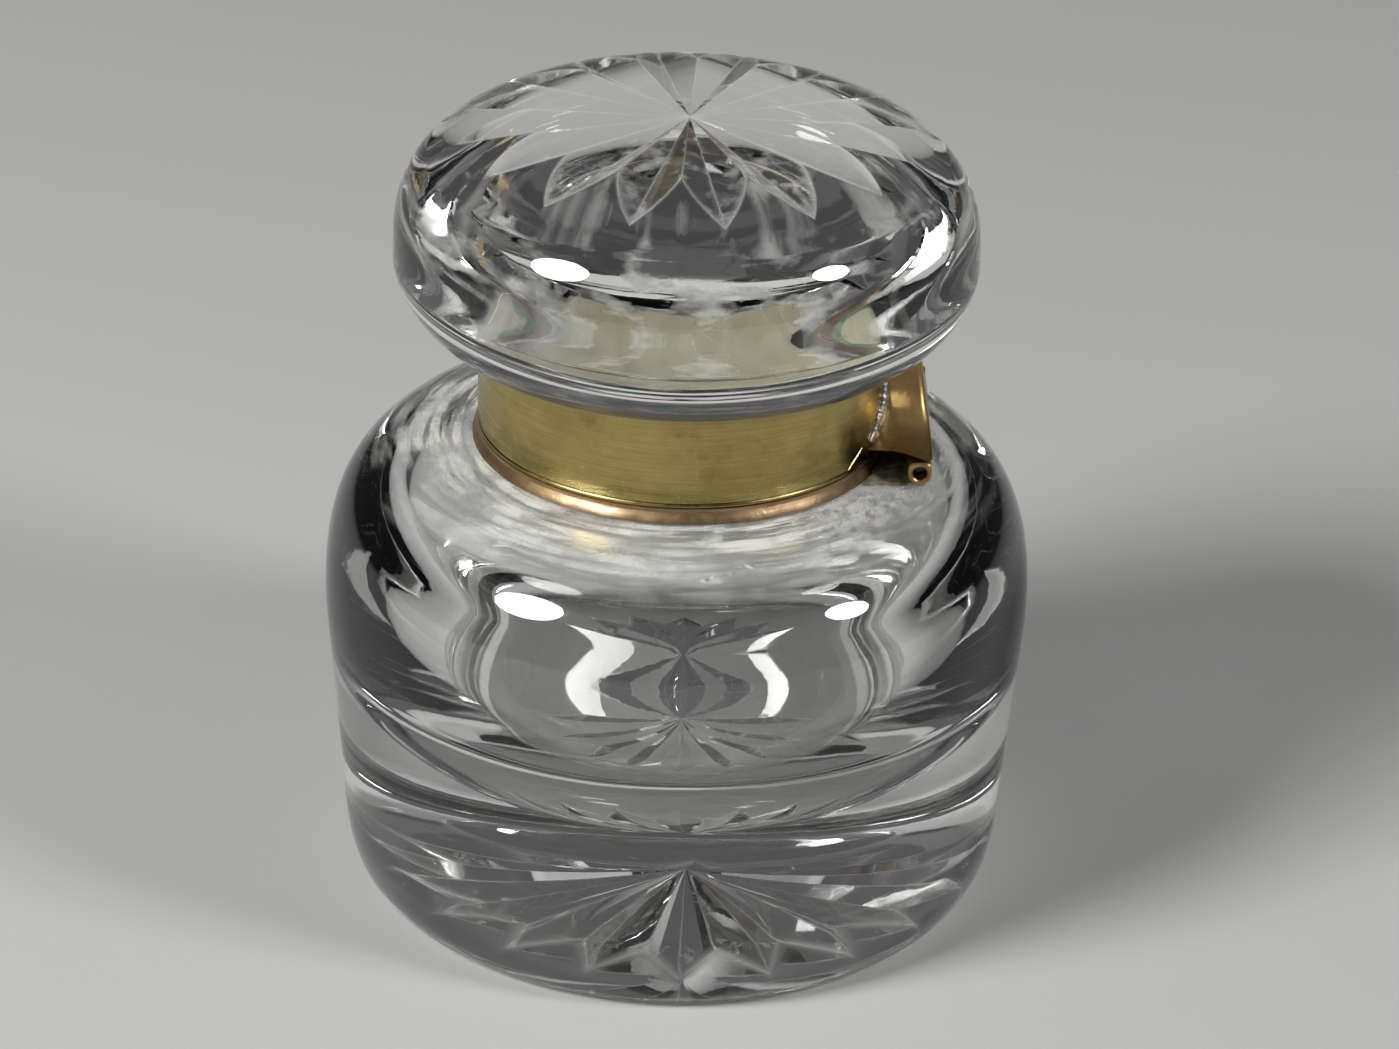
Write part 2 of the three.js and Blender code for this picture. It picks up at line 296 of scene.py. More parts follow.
def glass_body():
    """The well: its star, heel, side and shoulder, its neck and mouth, and the cavity down to its floor."""
    angles = directions(BASE_STAR["turn"])
    fall = facet_fall(BASE_STAR, angles, 1)
    edge = BASE_STAR["z"] / fall
    outline = star_rows(BASE_STAR, fall, edge)
    flat_edge = BASE_RADIUS - 0.4
    for step in (0.25, 0.5, 0.75, 1):
        outline.append((edge + (flat_edge - edge) * step, 0.0, BASE_STAR["x"] * (1 - step)))
    outer = quarter((HEEL_RADIUS, HEEL_HEIGHT), (BASE_RADIUS, 0), HEEL_POWER, 24)[::-1]
    shoulder_edge = (NECK_RADIUS + 2.4, SHOULDER_Z)
    outer += quarter((BODY_RADIUS, BODY_WIDEST_Z), shoulder_edge, SHOULDER_POWER, 60)
    outline += wavering(outer, angles, WELL_WAVER)
    outline += rounded((NECK_RADIUS, SHOULDER_Z), 0.6, IN, UP)
    outline += rounded((NECK_RADIUS, NECK_TOP), 0.8, UP, IN)
    outline += rounded((MOUTH_RADIUS, NECK_TOP), 0.8, IN, DOWN)
    widest = (CAVITY_RADIUS, CAVITY_WIDEST_Z)
    cavity = quarter(widest, (MOUTH_RADIUS, CAVITY_TOP_Z), CAVITY_SHOULDER_POWER, 40)[::-1]
    cavity += quarter(widest, (FLOOR_RADIUS, FLOOR_Z), CAVITY_BOWL_POWER, 48)[1:]
    outline += wavering(cavity, angles, INNER_WAVER)
    outline += [(FLOOR_RADIUS / 2, FLOOR_Z), (0, FLOOR_Z)]
    made = revolve("inkwell_glass", outline, angles, sharp=15)
    return mark_arrises(made, BASE_STAR, fall, edge)


def glass_lid():
    """The lid: its stem, the curve under it, the dome down to a rim, and the star cut into its top."""
    angles = directions(LID_STAR["turn"])
    fall = facet_fall(LID_STAR, angles, -1)
    edge = dome_edge(fall)
    outline = [(0, STEM_BOTTOM), (STEM_RADIUS / 2, STEM_BOTTOM)]
    outline += rounded((STEM_RADIUS, STEM_BOTTOM), 0.5, OUT, UP)
    underside = COLLAR_TOP + JOINT_LINE
    outline += rounded((STEM_RADIUS, underside), 0.4, UP, OUT)
    widest = (LID_RADIUS, LID_WIDEST_Z)
    under = quarter(widest, (COLLAR_RADIUS, underside), UNDER_LID_POWER, 40)[::-1]
    outline += wavering(under, angles, INNER_WAVER)
    rim_radius = 28.4  # the evenly round part of the dome ends here, outside the star
    dome = quarter(widest, (0, LID_TOP), DOME_POWER, 80)[1:]
    dome = [point for point in dome if point[0] > rim_radius + 0.2]
    outline += wavering(dome, angles, INNER_WAVER)
    for step in (0, 0.15, 0.3, 0.45, 0.6, 0.75, 0.9):
        radius = rim_radius + (edge - rim_radius) * step
        outline.append((radius, dome_height(radius)))
    outline += star_rows(LID_STAR, fall, edge)[::-1]
    made = revolve("lid_glass", outline, angles, sharp=15)
    return mark_arrises(made, LID_STAR, fall, edge)


# ---- collars and cement ------------------------------------------------------------------------------

def rough_edge(angles, amount, seed, detail=9.0):
    """Uneven heights round an edge, in millimetres."""
    values = []
    for angle in angles:
        place = Vector((math.cos(angle), math.sin(angle), 0)) * detail
        values.append(noise.noise(place + Vector((0, 0, seed))) + 0.5 * noise.noise(place * 3.1))
    return amount * np.array(values)


def tear(angles):
    """Height of the piece torn out of the collar's lower edge just in front of the hinge."""
    degrees = np.degrees((angles + math.pi) % (2 * math.pi) - math.pi)
    return 1.7 * np.interp(degrees, [-36, -34.5, -29, -26, -24.5], [0, 0.3, 1, 0.5, 0])


def upper_collar():
    """The lid's tall band, with a fine bead round its lower edge. The bead is worn away at the tear."""
    inner = COLLAR_RADIUS - SHEET
    bottom = COLLAR_BOTTOM + tear(CIRCLE)
    top = COLLAR_TOP + rough_edge(CIRCLE, 0.09, 3.0, 14.0)
    swell = np.where(tear(CIRCLE) > 0, -0.05, 0.1)
    outline = [
        (inner, bottom + 0.1),
        (inner + 0.1, bottom),
        (COLLAR_RADIUS + swell - 0.08, bottom),
        (COLLAR_RADIUS + swell, bottom + 0.08),
        (COLLAR_RADIUS + swell, bottom + 0.22),
        (COLLAR_RADIUS + 0.01, bottom + 0.34),
        (COLLAR_RADIUS - 0.06, bottom + 0.42),
        (COLLAR_RADIUS, bottom + 0.54),
    ]
    wall_bottom, wall_top = bottom + 0.54, top - 0.12
    for step in np.linspace(0.15, 1, 14):
        height = wall_bottom + (wall_top - wall_bottom) * step
        outline.append((COLLAR_RADIUS + rough_edge(CIRCLE, 0.03, step * 2, 3.0), height))
    outline += [(COLLAR_RADIUS - 0.08, top), (inner + 0.1, top), (inner, top - 0.1)]
    return revolve("collar_upper", outline, closed=True, sharp=40)


def lower_collar():
    """The well's band with its bead, and the gallery that stands inside the lid's collar."""
    bottom, top = BAND_LOW[2], BAND_HIGH[2]
    gallery = 21.7  # outer radius of the part inside the lid's collar
    lip = 16.6  # radius to which its top turns in over the neck
    inner = gallery - SHEET
    parting = COLLAR_BOTTOM - 0.1
    foot = BAND_HIGH[0]
    ragged = rough_edge(CIRCLE, 0.07, 8.0, 12.0)
    outline = [
        (inner, bottom),
        (foot - 0.2, bottom),
        (foot + ragged, bottom + 0.12),
        (foot - 0.12 + ragged, bottom + 0.5),
        (COLLAR_RADIUS + 0.28, bottom + 0.8),
        (COLLAR_RADIUS + 0.05, parting - 0.5),
        (COLLAR_RADIUS + 0.12, parting - 0.3),
        (COLLAR_RADIUS + 0.08, parting - 0.08),
        (COLLAR_RADIUS - 0.05, parting),
        (gallery + 0.1, parting),
        (gallery, parting + 0.1),
        (gallery, top - 0.5),
        (gallery - 0.15, top - 0.15),
        (gallery - 0.5, top),
        (lip + 0.1, top),
        (lip, top - SHEET / 2),
        (lip + 0.1, top - SHEET),
        (inner, top - SHEET),
    ]
    return revolve("collar_lower", outline, closed=True, sharp=40)


def lid_flange():
    """The brass ring that carries the stem, its middle raised to just under the glass."""
    bottom, top = FLANGE_LOW[2], STEM_BOTTOM - JOINT_LINE
    inner, outer = 14.2, FLANGE_HIGH[0]
    step = STEM_SEAT - 0.1
    wobble = rough_edge(CIRCLE, 0.12, 1.0, 5.0)
    outline = [
        (inner + wobble, (bottom + top) / 2),
        (inner + 0.15 + wobble, bottom),
        (outer, bottom),
        (outer, bottom + SHEET),
        (step, bottom + SHEET),
        (step, top),
        (inner + 0.15 + wobble, top),
    ]
    return revolve("flange", outline, closed=True, sharp=40)


def lid_cement():
    """Plaster round the stem, with a seat under its edge."""
    low, high = corners("lid_cement")
    stem = STEM_RADIUS + CEMENT_LINE
    inner = STEM_SEAT + rough_edge(CIRCLE, 0.04, 5.0, 6.0)
    ledge = STEM_BOTTOM - CEMENT_LINE
    outline = [
        (inner, low[2] + 0.1),
        (inner + 0.3, low[2]),
        (high[0], low[2]),
        (high[0], high[2]),
        (stem, high[2] - 0.1 + rough_edge(CIRCLE, 0.06, 2.0)),
        (stem, ledge),
        (inner + 0.3, ledge),
        (inner, ledge - 0.15),
    ]
    return revolve("cement_lid", outline, closed=True, sharp=40)


def neck_cement():
    """Plaster between the neck and the lower collar."""
    low, high = corners("neck_cement")
    inner = NECK_RADIUS + CEMENT_LINE
    top = high[2] + rough_edge(CIRCLE, 0.08, 7.0)
    outline = [(inner, low[2]), (high[0], low[2]), (high[0], top), (inner, top - 0.1)]
    return revolve("cement_neck", outline, closed=True, sharp=40)


# ---- hinge -------------------------------------------------------------------------------------------

TAIL_FOOT_HALF = TAIL_HIGH[1]
TAIL_HEAD_HALF = 3.4
TAIL_WALL = 0.8
TAIL_HEAD_OUTSIDE = 26.2
TAIL_SWEEP = 2.3  # how far the sides of the tail's foot spread between the collar and the barrel
TAIL_ARCH = 0.75  # how far they arch up there


def tail_edge(rise):
    """Half the tail's width and its height at a point from its foot, 0, to the top of its strap, 1."""
    low, elbow, high = 1 - rise, 2 * rise * (1 - rise), rise ** 2
    bottom, top = TAIL_LOW[2], TAIL_HIGH[2] - 0.3
    half = low ** 2 * TAIL_FOOT_HALF + elbow * (TAIL_HEAD_HALF + 0.4) + high * TAIL_HEAD_HALF
    return half, low ** 2 * bottom + elbow * (bottom + 0.4) + high * top


def tail_sweep(rise):
    """How far the tail's side spreads outwards between the collar and the face, at a point as above."""
    return TAIL_SWEEP * (1 - rise) ** 2


def tail_loop(half, outside, height, inset, arch, sweep):
    """Points from the collar out along one side of the tail, across its face and back along the other side.
    The sides sweep outwards from the collar to the face."""
    half, outside = half - inset, outside - inset
    start = math.sqrt((COLLAR_RADIUS + 0.1) ** 2 - (half - sweep) ** 2)
    corner = min(0.8, (outside - start) * 0.6, half * 0.5)
    points = []
    for step in np.linspace(0, 1, 11):
        lift = arch * math.sin(math.pi * step)
        y = -half + sweep * (1 - step) ** 2
        points.append((start + (outside - corner - start) * step, y, height + lift))
    for step in np.linspace(0, 1, 7)[1:]:
        angle = step * math.pi / 2
        x = outside - corner + corner * math.sin(angle)
        points.append((x, -half + corner * (1 - math.cos(angle)), height))
    for step in np.linspace(0, 1, 15)[1:8]:
        points.append((outside, (half - corner) * (2 * step - 1), height))
    mirror = [(x, -y, z) for x, y, z in points[:-1]]
    return points + mirror[::-1]


def tail_grid(inset):
    """The tail's walls from the foot up, and then its roof back to the collar."""
    foot, head = TAIL_HIGH[0], TAIL_HEAD_OUTSIDE
    bottom, top = TAIL_LOW[2], TAIL_HIGH[2] - 0.3
    loops = []
    for rise in np.linspace(0, 1, 41):
        half, height = tail_edge(rise)
        height -= inset * rise ** 0.5
        outside = foot + (head - foot) * (height - bottom) / (top - bottom)
        arch = TAIL_ARCH * (1 - rise) ** 5
        loops.append(tail_loop(half, outside, height, inset, arch, tail_sweep(rise)))
    back = math.sqrt((COLLAR_RADIUS + 0.1) ** 2 - TAIL_HEAD_HALF ** 2)
    for step in np.linspace(0, 1, 7)[1:]:
        outside = head + (back + 0.3 + inset - head) * step
        height = top - inset + 0.3 * math.sin(step * math.pi / 2)
        loops.append(tail_loop(TAIL_HEAD_HALF - 0.3 * step, outside, height, inset, 0, 0))
    grid = np.array(loops)
    dents = [
        noise.noise(Vector(point) * 0.45) + 0.5 * noise.noise(Vector(point) * 1.3)
        for point in grid.reshape(-1, 3)
    ]
    grid[:, :, 0] += 0.09 * np.array(dents).reshape(grid.shape[:2])
    return grid


def hinge_tail():
    """The hollow tail, as a sheet bent round the space under it."""
    return shell("tail", tail_grid(0), tail_grid(TAIL_WALL), sharp=40)


def bead(name, path, normals, width, height, seed):
    """A lumpy run of solder along a path, rounded on top and flat beneath.
    Its width is one value, or one for each point."""
    path, normals = np.array(path), np.array(normals)
    width = np.broadcast_to(width, len(path))
    along = np.gradient(path, axis=0)
    across = np.cross(normals, along)
    across /= np.linalg.norm(across, axis=1)[:, None]
    rings = [[path[0]]]
    for k in range(len(path)):
        place = Vector(path[k]) * 0.8 + Vector((0, 0, seed))
        lump = 1 + 0.3 * noise.noise(place) + 0.15 * noise.noise(place * 3)
        end = math.sin(math.pi * (k + 0.7) / (len(path) + 0.4)) ** 0.4
        ring = []
        for angle in np.linspace(0, 2 * math.pi, 20, endpoint=False):
            rise = max(math.sin(angle), -0.1)
            around = Vector((3 * math.cos(angle), 3 * math.sin(angle), 0))
            wobble = 1 + 0.15 * noise.noise(place * 2 + around)
            sideways = across[k] * width[k] * lump * math.cos(angle)
            offset = sideways + normals[k] * height * lump * rise
            ring.append(path[k] + offset * end * wobble)
        rings.append(ring)
    rings.append([path[-1]])
    return skin(name, rings, sharp=60)


def tail_solder(name, side):
    """A wide fillet that follows the edge of the tail over the collar, widest round the elbow."""
    rises = np.linspace(0.12, 0.97, 80)
    radius = COLLAR_RADIUS + 0.03
    path, normals = [], []
    for rise in rises:
        half, height = tail_edge(rise)
        angle = math.asin(side * (half - tail_sweep(rise) + 0.75) / radius)
        normals.append((math.cos(angle), math.sin(angle), 0))
        path.append((math.cos(angle) * radius, math.sin(angle) * radius, height + 0.5 * (1 - rise)))
    width = 0.8 + 0.5 * np.exp(-((rises - 0.3) / 0.2) ** 2)
    return bead(name, path, normals, width, 0.65, 4.0 + side)


def leaf_solder():
    """A thin fillet between the leaf and the lower collar."""
    low, high = corners("leaf_solder")
    path, normals = [], []
    reach = math.asin(high[1] / high[0])
    for angle in np.linspace(-reach, reach, 70):
        radius = BAND_HIGH[0] + 0.2
        path.append((radius * math.cos(angle), radius * math.sin(angle), low[2] + 0.03))
        normals.append((math.cos(angle) * 0.6, math.sin(angle) * 0.6, 0.8))
    return bead("solder_leaf", path, normals, 0.45, 0.3, 9.0)


def hinge_leaf():
    """A thin plate on the glass, its inner edge round the collar and its outer edges eaten away."""
    inner = BAND_HIGH[0] + JOINT_LINE
    rows, columns = 90, 14
    top, bottom = np.zeros((rows, columns, 3)), np.zeros((rows, columns, 3))
    for i, across in enumerate(np.linspace(-1, 1, rows)):
        eaten = 0.25 + 0.35 * noise.noise(Vector((across * 14, 3, 0)))
        eaten += 0.2 * noise.noise(Vector((across * 40, 5, 0)))
        for j, out in enumerate(np.linspace(0, 1, columns)):
            end = 0.35 * abs(across) ** 12 * (1 + noise.noise(Vector((out * 6, across, 9))))
            y = across * (LEAF_HIGH[1] - end)
            x = math.sqrt(inner ** 2 - y ** 2)
            x += (LEAF_HIGH[0] - max(eaten, 0) - x) * out
            crust = 0.16 * noise.noise(Vector((x, y, 0)) * 1.7) + 0.1 * noise.noise(Vector((x, y, 4)) * 5)
            top[i, j] = (x, y, LEAF_HIGH[2] - 0.08 + crust)
            bottom[i, j] = (x, y, LEAF_LOW[2] + 0.02)
    return shell("leaf", bottom, top, sharp=50)


def barrel_ring(radius, y, squareness=0.0):
    """A ring round the hinge's axis, with its upper half drawn out towards a square."""
    ring = []
    for angle in np.linspace(0, 2 * math.pi, 48, endpoint=False):
        square = (abs(math.cos(angle)) ** 6 + abs(math.sin(angle)) ** 6) ** (-1 / 6)
        reach = radius * (1 + (square - 1) * squareness * (math.sin(angle) > 0))
        ring.append((HINGE[0] - reach * math.cos(angle), y, HINGE[2] + reach * math.sin(angle)))
    return ring


def knuckle(node, squareness):
    """One length of the barrel's tube, with bevelled ends."""
    low, high = corners(node)
    outer = (high[0] - low[0]) / 2
    bore, bevel = 0.8, 0.14
    start, end = low[1], high[1]
    rings = [
        barrel_ring(bore, start + bevel),
        barrel_ring(bore + bevel, start),
        barrel_ring(outer - bevel, start, squareness),
        barrel_ring(outer, start + bevel, squareness),
        barrel_ring(outer, end - bevel, squareness),
        barrel_ring(outer - bevel, end, squareness),
        barrel_ring(bore + bevel, end),
        barrel_ring(bore, end - bevel),
    ]
    return skin("barrel_" + node.replace("_knuckle", ""), rings, closed=True, sharp=40)


def hinge_pin():
    """The pin, with bevelled ends and slight wear along it."""
    low, high = corners("hinge_pin")
    radius = (high[0] - low[0]) / 2
    bevel = 0.12
    start, end = low[1], high[1]
    rings = [
        [(HINGE[0], start, HINGE[2])],
        barrel_ring(radius - bevel, start),
        barrel_ring(radius, start + bevel),
    ]
    for y in np.linspace(start + 1, end - 1, 12):
        rings.append(barrel_ring(radius - 0.02 * abs(math.sin(3 * y)), y))
    rings += [
        barrel_ring(radius, end - bevel),
        barrel_ring(radius - bevel, end),
        [(HINGE[0], end, HINGE[2])],
    ]
    return skin("pin", rings, sharp=40)


# ---- materials ---------------------------------------------------------------------------------------

VERDIGRIS = (0.07, 0.27, 0.17)
GLASS_INDEX = 1.56


class Look:
    """A material under construction. Textures use the piece's own coordinates, in metres."""

    def __init__(self, name):
        self.material = bpy.data.materials.new(name)
        self.material.use_nodes = True
        self.nodes = self.material.node_tree.nodes
        self.links = self.material.node_tree.links
        self.shader = self.nodes["Principled BSDF"]
        self.place = self.nodes.new("ShaderNodeTexCoord").outputs["Object"]

    def join(self, source, socket):
        """Links an output to an input, or sets the input if the source is a plain value."""
        if isinstance(source, bpy.types.NodeSocket):
            self.links.new(source, socket)
        else:
            socket.default_value = source

    def set(self, name, source):
        self.join(source, self.shader.inputs[name])

    def math(self, operation, first, second=0.0):
        node = self.nodes.new("ShaderNodeMath")
        node.operation = operation
        self.join(first, node.inputs[0])
        self.join(second, node.inputs[1])
        return node.outputs[0]

    def stretched(self, x, y, z):
        """The piece's coordinates, scaled along each axis, for brushed or streaked textures."""
        node = self.nodes.new("ShaderNodeVectorMath")
        node.operation = "MULTIPLY"
        self.join(self.place, node.inputs[0])
        node.inputs[1].default_value = (x, y, z)
        return node.outputs[0]

    def noise(self, scale, detail=3.0, roughness=0.5, where=None, distortion=0.0):
        node = self.nodes.new("ShaderNodeTexNoise")
        self.join(where or self.place, node.inputs["Vector"])
        node.inputs["Scale"].default_value = scale
        node.inputs["Detail"].default_value = detail
        node.inputs["Roughness"].default_value = roughness
        node.inputs["Distortion"].default_value = distortion
        return node.outputs[0]

    def span(self, value, from_low, from_high, to_low=0.0, to_high=1.0):
        """Maps a range of a value on to another range, and stops at its ends."""
        node = self.nodes.new("ShaderNodeMapRange")
        self.join(value, node.inputs["Value"])
        node.inputs["From Min"].default_value = from_low
        node.inputs["From Max"].default_value = from_high
        node.inputs["To Min"].default_value = to_low
        node.inputs["To Max"].default_value = to_high
        return node.outputs[0]

    def mix(self, share, first, second):
        node = self.nodes.new("ShaderNodeMix")
        node.data_type = "RGBA"
        self.join(share, node.inputs["Factor"])
        for socket, colour in ((node.inputs[6], first), (node.inputs[7], second)):
            self.join(colour if isinstance(colour, bpy.types.NodeSocket) else (*colour, 1.0), socket)
        return node.outputs[2]

    def bump(self, height, strength, distance):
        node = self.nodes.new("ShaderNodeBump")
        self.join(height, node.inputs["Height"])
        node.inputs["Strength"].default_value = strength
        node.inputs["Distance"].default_value = distance
        self.links.new(node.outputs[0], self.shader.inputs["Normal"])

    def round_and_out(self, around, outward):
        """Coordinates for turned streaks: they change slowly round the axis and quickly outwards."""
        unit = self.nodes.new("ShaderNodeVectorMath")
        unit.operation = "NORMALIZE"
        self.join(self.stretched(1, 1, 0), unit.inputs[0])
        scaled = self.nodes.new("ShaderNodeVectorMath")
        scaled.operation = "SCALE"
        self.join(unit.outputs[0], scaled.inputs[0])
        scaled.inputs["Scale"].default_value = around
        lift = self.nodes.new("ShaderNodeCombineXYZ")
        self.join(self.math("MULTIPLY", self.radius_mm(), outward), lift.inputs[2])
        total = self.nodes.new("ShaderNodeVectorMath")
        self.join(scaled.outputs[0], total.inputs[0])
        self.join(lift.outputs[0], total.inputs[1])
        return total.outputs[0]

    def height_mm(self):
        node = self.nodes.new("ShaderNodeSeparateXYZ")
        self.join(self.place, node.inputs[0])
        return self.math("MULTIPLY", node.outputs[2], 1 / MM)

    def across_mm(self):
        """Distance towards the hinge."""
        node = self.nodes.new("ShaderNodeSeparateXYZ")
        self.join(self.place, node.inputs[0])
        return self.math("MULTIPLY", node.outputs[0], 1 / MM)

    def radius_mm(self):
        """Distance from the well's axis."""
        flat = self.stretched(1 / MM, 1 / MM, 0)
        node = self.nodes.new("ShaderNodeVectorMath")
        node.operation = "LENGTH"
        self.join(flat, node.inputs[0])
        return node.outputs["Value"]

    def within(self, value, low, high, soft):
        """1 between two values of something, falling to 0 over a soft margin."""
        above = self.span(value, low - soft, low)
        below = self.span(value, high, high + soft, 1.0, 0.0)
        return self.math("MULTIPLY", above, below)


def glass_look(name, film):
    """Clear, faintly warm glass with fine scratches, a chalky film where film(look) says, and worn star edges
    that are rougher and carry a painted whitish highlight.
    """
    look = Look(name)
    look.set("Transmission Weight", 1.0)
    look.set("IOR", GLASS_INDEX)
    tint = look.noise(25, 2)
    look.set("Base Color", look.mix(tint, (0.975, 0.985, 0.965), (0.995, 0.995, 0.985)))
    lines = look.noise(60, 2, 0.5, look.stretched(1, 4, 1.5), 2.0)
    scratch = look.span(look.math("ABSOLUTE", look.math("SUBTRACT", lines, 0.5)), 0.0, 0.006, 1.0, 0.0)
    wear = look.span(look.noise(40, 3), 0.5, 0.62)
    scratch = look.math("MULTIPLY", scratch, wear)
    chalk = film(look)
    rough = look.math("ADD", look.math("MULTIPLY", scratch, 0.18), look.math("MULTIPLY", chalk, 0.5))
    smear = look.span(look.noise(90, 4), 0.45, 0.8, 0.0, 0.03)
    arris = look.nodes.new("ShaderNodeAttribute")
    arris.attribute_name = "arris"
    worn_edge_and_highlight = look.math("POWER", arris.outputs["Fac"], 2.0)
    rough = look.math("ADD", rough, look.math("MULTIPLY", worn_edge_and_highlight, 0.25))
    look.set("Roughness", look.math("ADD", rough, smear))
    look.bump(look.noise(260, 3), 0.12, 0.00005)
    powder = look.nodes.new("ShaderNodeBsdfDiffuse")
    powder.inputs["Color"].default_value = (0.86, 0.86, 0.82, 1)
    blend = look.nodes.new("ShaderNodeMixShader")
    # Whitish powder: the chalky film, and a painted highlight along the star's worn edges.
    chalk_and_painted_highlight = look.math("MAXIMUM", look.math("MULTIPLY", chalk, 0.8), look.math("MULTIPLY", worn_edge_and_highlight, 0.2))
    look.join(chalk_and_painted_highlight, blend.inputs[0])
    look.links.new(look.shader.outputs[0], blend.inputs[1])
    look.links.new(powder.outputs[0], blend.inputs[2])
    look.links.new(blend.outputs[0], look.nodes["Material Output"].inputs["Surface"])
    return look.material


def well_film(look):
    """Chalky smears turned round the foot of the collar, a crust by the hinge, and scuffs along the heel."""
    radius, height = look.radius_mm(), look.height_mm()
    shoulder = look.math(
        "MULTIPLY",
        look.span(radius, 26, 36, 1.0, 0.0),
        look.span(height, 46, 49),
    )
    streaks = look.span(look.noise(1, 5, 0.62, look.round_and_out(2.2, 0.9), 0.3), 0.42, 0.58)
    cloud = look.span(look.noise(110, 4, 0.6), 0.36, 0.54)
    smears = look.math("MULTIPLY", look.math("MULTIPLY", shoulder, streaks), cloud)
    crust = look.span(look.noise(520, 6, 0.75), 0.44, 0.56)
    near_hinge = look.math(
        "MULTIPLY",
        look.span(look.across_mm(), 12, 20),
        look.span(radius, 25, 31, 1.0, 0.0),
    )
    patch = look.math("MULTIPLY", look.math("MULTIPLY", near_hinge, crust), look.span(height, 48.5, 50.5))
    heel = look.within(height, 0.2, 1.0, 0.3)
    scuffed = look.math("MULTIPLY", heel, look.span(look.noise(420, 5, 0.7), 0.55, 0.72))
    return look.math("MAXIMUM", look.math("MAXIMUM", smears, patch), look.math("MULTIPLY", scuffed, 0.5))


def lid_film(look):
    """A few faint smears on the dome and dust in the corner over the collar."""
    height = look.height_mm()
    patches = look.math(
        "MULTIPLY",
        look.span(look.noise(45, 3), 0.6, 0.72),
        look.span(look.noise(300, 5, 0.7), 0.5, 0.75),
    )
    corner = look.math(
        "MULTIPLY",
        look.span(height, 66, 68, 1.0, 0.0),
        look.span(look.noise(380, 4), 0.5, 0.7),
    )
    return look.math("ADD", look.math("MULTIPLY", patches, 0.35), look.math("MULTIPLY", corner, 0.5))


def metal_look(name, bright, dull, stain, rough, brush, stain_share, pits, extra=None, metallic=1.0):
    """Aged metal: brushed round the axis, with dull patches, darker stains and small pits.
    extra(look, colour) adds what one piece alone shows."""
    look = Look(name)
    patch = look.span(look.noise(110, 4, 0.6), 0.35, 0.68)
    colour = look.mix(patch, bright, dull)
    stained = look.span(look.noise(210, 5, 0.65), 0.62 - stain_share * 0.3, 0.8)
    colour = look.mix(look.math("MULTIPLY", stained, stain_share * 2), colour, stain)
    lines = look.noise(1, 3, 0.6, look.stretched(90, 90, 5200))
    colour = look.mix(look.span(lines, 0.4, 0.7, 0.0, 0.35 * brush), colour, stain)
    if extra:
        colour = extra(look, colour)
    look.set("Base Color", colour)
    look.set("Metallic", metallic)
    spots = look.span(look.noise(900, 3), 0.55, 0.75)
    grain = look.math("ADD", look.math("MULTIPLY", lines, 0.16), look.math("MULTIPLY", stained, 0.3))
    look.set("Roughness", look.math("ADD", grain, rough))
    relief = look.math("SUBTRACT", look.math("MULTIPLY", lines, brush), look.math("MULTIPLY", spots, pits))
    look.bump(relief, 0.35, 0.00006)
    return look.material


def collar_colours(look, colour):
    """Copper showing through along the collar's upper edge, and dirt right at the edges."""
    height = look.height_mm()
    stain = look.math(
        "MULTIPLY",
        look.span(height, COLLAR_TOP - 1.6, COLLAR_TOP - 0.2),
        look.span(look.noise(70, 3), 0.42, 0.62),
    )
    colour = look.mix(look.math("MULTIPLY", stain, 0.7), colour, (0.36, 0.15, 0.07))
    edge = look.span(height, COLLAR_TOP - 0.35, COLLAR_TOP - 0.1)
    colour = look.mix(look.math("MULTIPLY", edge, 0.8), colour, (0.05, 0.035, 0.02))
    groove = look.within(height, COLLAR_BOTTOM + 0.36, COLLAR_BOTTOM + 0.46, 0.07)
    return look.mix(look.math("MULTIPLY", groove, 0.85), colour, (0.04, 0.03, 0.015))


def band_colours(look, colour):
    """The upstand over the band is dark brown, in patches."""
    upstand = look.span(look.height_mm(), COLLAR_BOTTOM, COLLAR_BOTTOM + 0.15)
    patch = look.span(look.noise(160, 4, 0.6), 0.35, 0.6, 0.45, 0.85)
    return look.mix(look.math("MULTIPLY", upstand, patch), colour, (0.09, 0.06, 0.03))


def flange_colours(look, colour):
    """A ring of green verdigris next to the cement."""
    ring = look.within(look.radius_mm(), 18.2, 21, 0.3)
    patch = look.span(look.noise(700, 4, 0.7), 0.38, 0.52)
    return look.mix(look.math("MULTIPLY", ring, patch), colour, VERDIGRIS)


def leaf_colours(look, colour):
    """Grey-green crust with copper showing through."""
    crust = look.span(look.noise(330, 5, 0.7), 0.36, 0.52)
    pale = look.mix(look.span(look.noise(800, 4), 0.42, 0.58), (0.16, 0.18, 0.12), (0.42, 0.44, 0.37))
    return look.mix(crust, colour, pale)


def plaster_look():
    """Cream plaster, with a brown line and verdigris where it meets the flange under the lid's stem."""
    look = Look("old_plaster")
    tone = look.noise(260, 5, 0.6)
    colour = look.mix(look.span(tone, 0.35, 0.7), (0.80, 0.76, 0.58), (0.62, 0.55, 0.36))
    height = look.math("ADD", look.height_mm(), look.span(look.noise(900, 4), 0.3, 0.7, -0.25, 0.25))
    green = look.within(height, 61, STEM_BOTTOM + 0.5, 0.08)
    brown = look.within(height, 61, STEM_BOTTOM + 0.25, 0.08)
    spotty = look.span(look.noise(900, 4, 0.7), 0.36, 0.5)
    colour = look.mix(look.math("MULTIPLY", green, spotty), colour, VERDIGRIS)
    look.set("Base Color", look.mix(brown, colour, (0.20, 0.12, 0.06)))
    look.set("Roughness", look.span(tone, 0.2, 0.8, 0.8, 0.98))
    look.bump(look.noise(1500, 4), 0.5, 0.0001)
    return look.material


# ---- assembly of the looks ---------------------------------------------------------------------------

def fit(made, material, body, node):
    """Puts a piece in place of its CAD node, on a body, with a material."""
    made.data.materials.append(material)
    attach(made, body)
    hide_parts(node)


